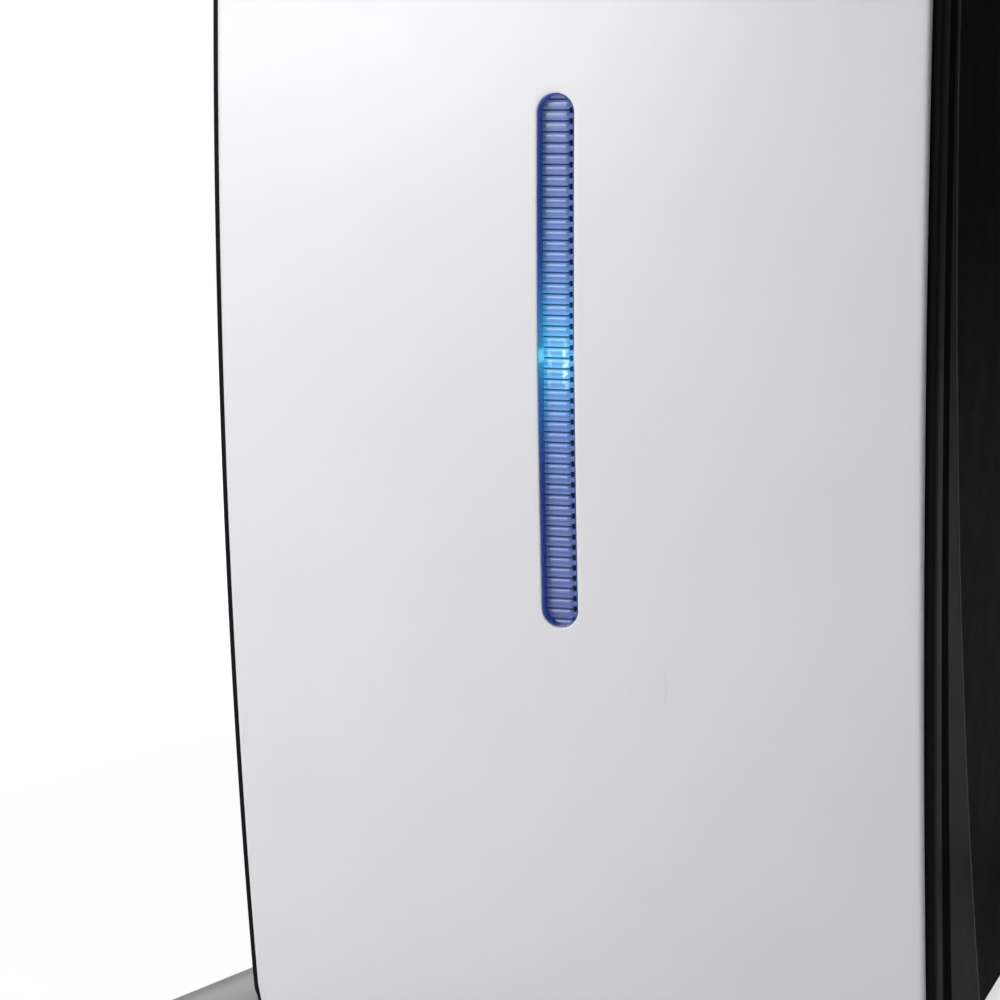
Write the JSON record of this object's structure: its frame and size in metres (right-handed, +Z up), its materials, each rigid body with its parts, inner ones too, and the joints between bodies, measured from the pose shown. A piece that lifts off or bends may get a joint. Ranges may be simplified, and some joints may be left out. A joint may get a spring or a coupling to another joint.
{
  "type": "game console with controller",
  "caption": "Upright game console with a bowed hinged silver front door, a ribbed blue light bar, black bezel and splayed grey feet, with a wireless controller lying beside it.",
  "frame": {"origin": "on the floor, under the middle of the pair's bounding box", "axes": "+Z up, the door and the controller's grips face -Y, the controller lies on the console's +X side"},
  "size_m": [0.3844, 0.2279, 0.318],
  "materials": {
    "silver_shell": "satin painted plastic with a faint lavender tint",
    "silver_buttons": "satin painted plastic",
    "black_trim": "fine satin black",
    "dark_cover": "fine textured charcoal",
    "foot_grey": "satin grey",
    "blue_lens": "clear blue, ribbed",
    "circuit_board": "green solder mask",
    "steel": "brushed",
    "fins": "bare",
    "drive_plastic": "matt",
    "rubber": "matt",
    "controller_shell": "satin pale silver",
    "controller_keys": "dark grey",
    "home_key": "translucent blue",
    "battery_wrap": "printed film, left plain"
  },
  "bodies": {
    "console": {"base_tray": "dark_cover", "front_bezel": "black_trim", "side_cover_left": "dark_cover", "side_cover_right": "dark_cover", "top_cover": "dark_cover", "rear_panel": "dark_cover", "foot_front_left": "foot_grey", "foot_front_right": "foot_grey", "foot_rear_left": "foot_grey", "foot_rear_right": "foot_grey", "mainboard": "circuit_board", "heatsink": "fins", "fan_frame": "black_trim", "power_supply": "steel", "hard_drive": "steel", "disc_drive_case": "steel", "front_usb_block": "black_trim", "disc_slot_trim": "black_trim", "rear_port_block": "black_trim", "power_inlet": "black_trim"},
    "door": {"door_skin": "silver_shell", "door_liner": "black_trim", "door_magnet": "steel", "light_lens": "blue_lens", "led_board": "circuit_board"},
    "power_button": {"power_button": "silver_buttons"},
    "eject_button": {"eject_button": "silver_buttons"},
    "sync_button": {"sync_button": "silver_buttons"},
    "fan_rotor": {"fan_rotor": "black_trim"},
    "disc_spindle": {"disc_spindle": "drive_plastic"},
    "laser_sled": {"laser_sled": "drive_plastic"},
    "load_roller_left": {"load_roller_left": "rubber"},
    "load_roller_right": {"load_roller_right": "rubber"},
    "controller": {"upper_shell": "controller_shell", "lower_shell": "controller_shell", "controller_board": "circuit_board", "battery_pack": "battery_wrap", "rumble_motor_left": "steel", "rumble_motor_right": "steel"},
    "battery_cover": {"battery_cover": "controller_shell"},
    "left_stick_gimbal": {"left_stick_gimbal": "steel"},
    "left_stick": {"left_stick": "rubber"},
    "right_stick_gimbal": {"right_stick_gimbal": "steel"},
    "right_stick": {"right_stick": "rubber"},
    "dpad_pivot": {"dpad_pivot": "drive_plastic"},
    "dpad": {"dpad": "controller_keys"},
    "face_button_bottom": {"face_button_bottom": "controller_keys"},
    "face_button_right": {"face_button_right": "controller_keys"},
    "face_button_top": {"face_button_top": "controller_keys"},
    "face_button_left": {"face_button_left": "controller_keys"},
    "view_button": {"view_button": "controller_keys"},
    "menu_button": {"menu_button": "controller_keys"},
    "home_button": {"home_button": "home_key"},
    "left_bumper": {"left_bumper": "controller_keys"},
    "right_bumper": {"right_bumper": "controller_keys"},
    "left_trigger": {"left_trigger": "controller_keys"},
    "right_trigger": {"right_trigger": "controller_keys"},
    "rumble_weight_left": {"rumble_weight_left": "steel"},
    "rumble_weight_right": {"rumble_weight_right": "steel"}
  },
  "joints": [
    {"name": "door_hinge", "type": "hinge", "parent": "console", "child": "door", "pos_m": [-0.15075, -0.096, 0.161], "axis": [0, 0, -1], "range_deg": [0, 98]},
    {"name": "power_press", "type": "slide", "parent": "console", "child": "power_button", "axis": [0, 1, 0], "range_m": [0, 0.0015], "stiffness_N_per_m": 400, "springref_m": -0.001},
    {"name": "eject_press", "type": "slide", "parent": "console", "child": "eject_button", "axis": [0, 1, 0], "range_m": [0, 0.0015], "stiffness_N_per_m": 400, "springref_m": -0.001},
    {"name": "sync_press", "type": "slide", "parent": "console", "child": "sync_button", "axis": [0, 1, 0], "range_m": [0, 0.0015], "stiffness_N_per_m": 400, "springref_m": -0.001},
    {"name": "fan_spin", "type": "hinge", "parent": "console", "child": "fan_rotor", "pos_m": [-0.08425, 0.099, 0.245], "axis": [0, 1, 0], "continuous": true},
    {"name": "disc_spin", "type": "hinge", "parent": "console", "child": "disc_spindle", "pos_m": [-0.08425, -0.028, 0.204], "axis": [1, 0, 0], "continuous": true},
    {"name": "laser_travel", "type": "slide", "parent": "console", "child": "laser_sled", "axis": [0, 1, 0], "range_m": [0, 0.026]},
    {"name": "load_roller_spin", "type": "hinge", "parent": "console", "child": "load_roller_left", "pos_m": [-0.08815, -0.082, 0.204], "axis": [0, 0, 1], "continuous": true},
    {"name": "load_roller_right_spin", "type": "hinge", "parent": "console", "child": "load_roller_right", "pos_m": [-0.08035, -0.082, 0.204], "axis": [0, 0, 1], "continuous": true},
    {"name": "controller_lift", "type": "slide", "parent": "console", "child": "controller", "axis": [0, 0, 1], "range_m": [0, 0.12]},
    {"name": "battery_cover_slide", "type": "slide", "parent": "controller", "child": "battery_cover", "axis": [0, 1, 0], "range_m": [0, 0.045]},
    {"name": "left_stick_tilt_y", "type": "hinge", "parent": "controller", "child": "left_stick_gimbal", "pos_m": [0.07375, -0.029, 0.027], "axis": [1, 0, 0], "range_deg": [-15, 15], "stiffness_Nm_per_rad": 0.04},
    {"name": "left_stick_tilt_x", "type": "hinge", "parent": "left_stick_gimbal", "child": "left_stick", "pos_m": [0.07375, -0.029, 0.027], "axis": [0, 1, 0], "range_deg": [-15, 15], "stiffness_Nm_per_rad": 0.04},
    {"name": "right_stick_tilt_y", "type": "hinge", "parent": "controller", "child": "right_stick_gimbal", "pos_m": [0.13475, -0.048, 0.027], "axis": [1, 0, 0], "range_deg": [-15, 15], "stiffness_Nm_per_rad": 0.04},
    {"name": "right_stick_tilt_x", "type": "hinge", "parent": "right_stick_gimbal", "child": "right_stick", "pos_m": [0.13475, -0.048, 0.027], "axis": [0, 1, 0], "range_deg": [-15, 15], "stiffness_Nm_per_rad": 0.04},
    {"name": "dpad_tilt_y", "type": "hinge", "parent": "controller", "child": "dpad_pivot", "pos_m": [0.09675, -0.048, 0.0319], "axis": [1, 0, 0], "range_deg": [-3.5, 3.5], "stiffness_Nm_per_rad": 0.04},
    {"name": "dpad_tilt_x", "type": "hinge", "parent": "dpad_pivot", "child": "dpad", "pos_m": [0.09675, -0.048, 0.0319], "axis": [0, 1, 0], "range_deg": [-3.5, 3.5], "stiffness_Nm_per_rad": 0.04},
    {"name": "face_bottom_press", "type": "slide", "parent": "controller", "child": "face_button_bottom", "axis": [0, 0, -1], "range_m": [0, 0.002], "stiffness_N_per_m": 400, "springref_m": -0.001},
    {"name": "face_right_press", "type": "slide", "parent": "controller", "child": "face_button_right", "axis": [0, 0, -1], "range_m": [0, 0.002], "stiffness_N_per_m": 400, "springref_m": -0.001},
    {"name": "face_top_press", "type": "slide", "parent": "controller", "child": "face_button_top", "axis": [0, 0, -1], "range_m": [0, 0.002], "stiffness_N_per_m": 400, "springref_m": -0.001},
    {"name": "face_left_press", "type": "slide", "parent": "controller", "child": "face_button_left", "axis": [0, 0, -1], "range_m": [0, 0.002], "stiffness_N_per_m": 400, "springref_m": -0.001},
    {"name": "view_press", "type": "slide", "parent": "controller", "child": "view_button", "axis": [0, 0, -1], "range_m": [0, 0.0008], "stiffness_N_per_m": 400, "springref_m": -0.001},
    {"name": "menu_press", "type": "slide", "parent": "controller", "child": "menu_button", "axis": [0, 0, -1], "range_m": [0, 0.0008], "stiffness_N_per_m": 400, "springref_m": -0.001},
    {"name": "home_press", "type": "slide", "parent": "controller", "child": "home_button", "axis": [0, 0, -1], "range_m": [0, 0.0008], "stiffness_N_per_m": 400, "springref_m": -0.001},
    {"name": "left_bumper_press", "type": "hinge", "parent": "controller", "child": "left_bumper", "pos_m": [0.09225, -0.006, 0.035], "axis": [0, 0, 1], "range_deg": [0, 1.5], "stiffness_Nm_per_rad": 1, "springref_deg": -1.15},
    {"name": "right_bumper_press", "type": "hinge", "parent": "controller", "child": "right_bumper", "pos_m": [0.13925, -0.006, 0.035], "axis": [0, 0, -1], "range_deg": [0, 1.5], "stiffness_Nm_per_rad": 1, "springref_deg": -1.15},
    {"name": "left_trigger_pull", "type": "hinge", "parent": "controller", "child": "left_trigger", "pos_m": [0.07175, -0.012, 0.022], "axis": [-1, 0, 0], "range_deg": [0, 15], "stiffness_Nm_per_rad": 0.05, "springref_deg": -5.73},
    {"name": "right_trigger_pull", "type": "hinge", "parent": "controller", "child": "right_trigger", "pos_m": [0.15975, -0.012, 0.022], "axis": [-1, 0, 0], "range_deg": [0, 15], "stiffness_Nm_per_rad": 0.05, "springref_deg": -5.73},
    {"name": "rumble_left_spin", "type": "hinge", "parent": "controller", "child": "rumble_weight_left", "pos_m": [0.07275, -0.071, 0.021], "axis": [1, 0, 0], "continuous": true},
    {"name": "rumble_right_spin", "type": "hinge", "parent": "controller", "child": "rumble_weight_right", "pos_m": [0.15875, -0.071, 0.021], "axis": [1, 0, 0], "continuous": true}
  ]
}
